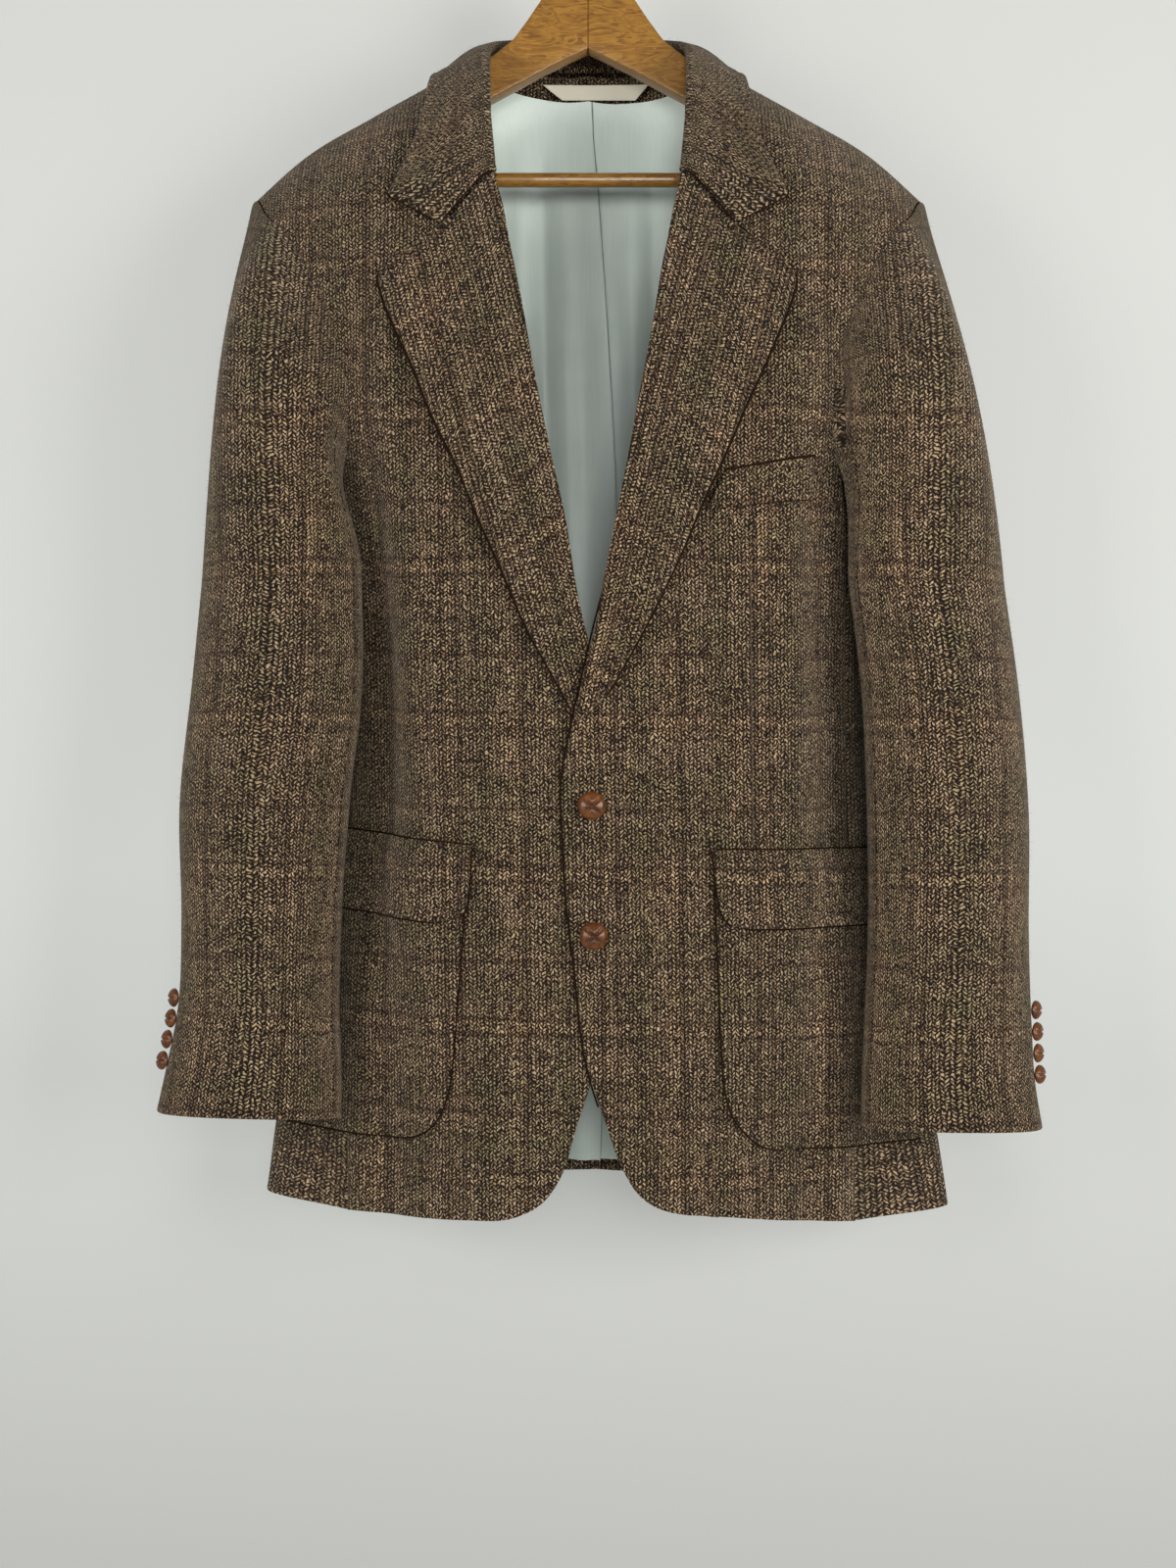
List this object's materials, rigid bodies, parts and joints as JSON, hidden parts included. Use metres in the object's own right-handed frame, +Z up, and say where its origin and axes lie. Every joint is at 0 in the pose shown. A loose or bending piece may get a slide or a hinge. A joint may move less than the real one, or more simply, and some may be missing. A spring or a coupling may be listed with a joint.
{
  "type": "tweed jacket on wooden hanger",
  "caption": "Single-breasted tweed hacking jacket, buttoned, with notch lapels, flapped patch pockets and a breast welt, hanging on a wooden hanger with a trouser bar.",
  "frame": {"origin": "seat of the hanger's hook, where a rail carries it", "axes": "+Z up, +X to the wearer's left, -Y to the front"},
  "size_m": [0.5961, 0.1526, 0.947],
  "materials": {
    "tweed": "brushed brown wool tweed",
    "lining": "satin lining",
    "label": "plain woven label",
    "leather": "woven strips, semi-gloss",
    "wood": "clear satin varnish",
    "steel": "polished wire"
  },
  "bodies": {
    "root": {"front_left": "tweed", "front_right": "tweed", "side_left": "tweed", "side_right": "tweed", "back_left": "tweed", "back_right": "tweed", "sleeve_left_top": "tweed", "sleeve_left_under": "tweed", "sleeve_right_top": "tweed", "sleeve_right_under": "tweed", "collar": "tweed", "lapel_left": "tweed", "lapel_right": "tweed", "pocket_left": "tweed", "pocket_right": "tweed", "flap_left": "tweed", "flap_right": "tweed", "breast_welt": "tweed", "lining_left": "lining", "lining_right": "lining", "label": "label", "front_button_1": "leather", "front_button_2": "leather", "cuff_button_left_1": "leather", "cuff_button_left_2": "leather", "cuff_button_left_3": "leather", "cuff_button_left_4": "leather", "cuff_button_right_1": "leather", "cuff_button_right_2": "leather", "cuff_button_right_3": "leather", "cuff_button_right_4": "leather", "hanger_left": "wood", "hanger_right": "wood", "hanger_bar": "wood", "hanger_hook": "steel"}
  },
  "joints": []
}
